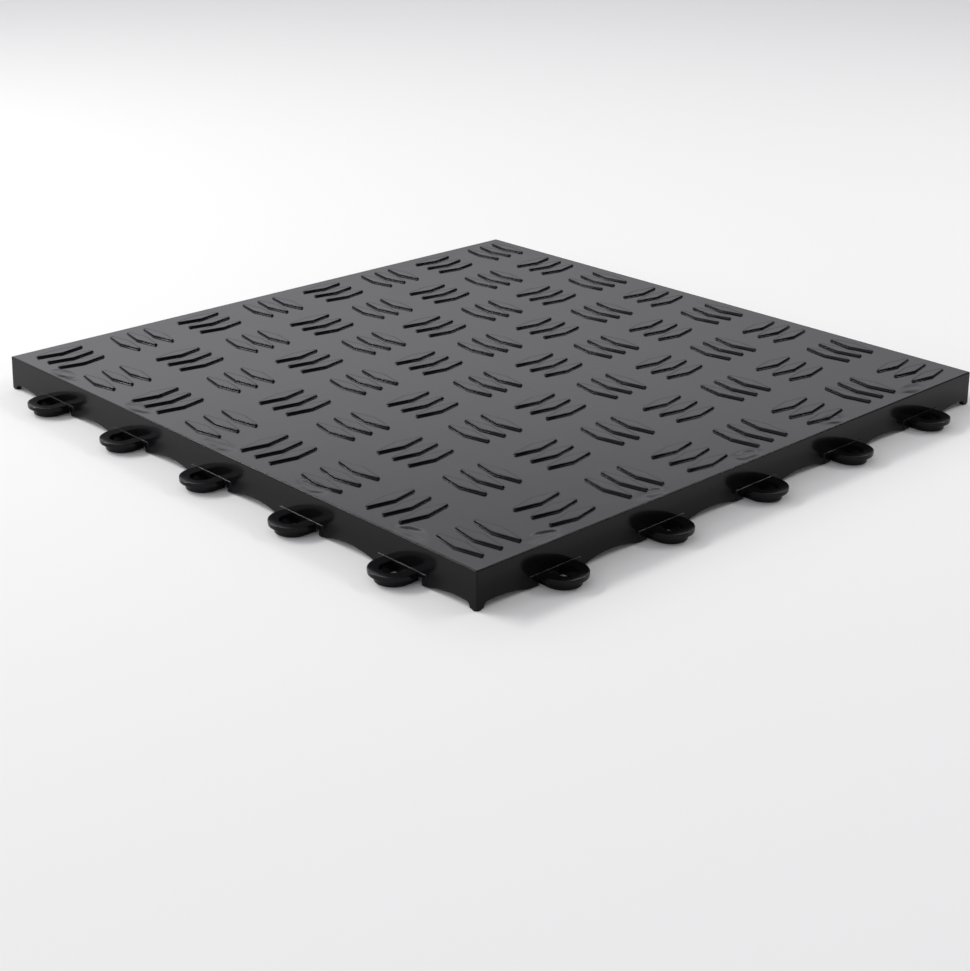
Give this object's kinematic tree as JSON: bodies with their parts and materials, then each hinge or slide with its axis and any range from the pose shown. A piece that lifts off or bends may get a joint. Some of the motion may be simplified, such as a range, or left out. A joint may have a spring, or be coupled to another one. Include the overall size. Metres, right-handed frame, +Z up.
{
  "type": "garage floor tile",
  "caption": "Square interlocking garage floor tile, moulded in one piece, with raised tread lugs, connecting loops on two sides and locking pegs under the other two.",
  "frame": {"origin": "on the floor, under the middle of the square body: the bottom of the middle post", "axes": "+Z up out of the tread, the loops stand out of the -X and -Y walls, the pegs hang inside the +X and +Y walls"},
  "size_m": [0.4185, 0.4185, 0.0211],
  "materials": {
    "moulded_polypropylene": "black injection-moulded polypropylene, satin deck and smoother, glossier walls"
  },
  "bodies": {
    "root": {"floor_tile": "moulded_polypropylene"}
  },
  "joints": []
}
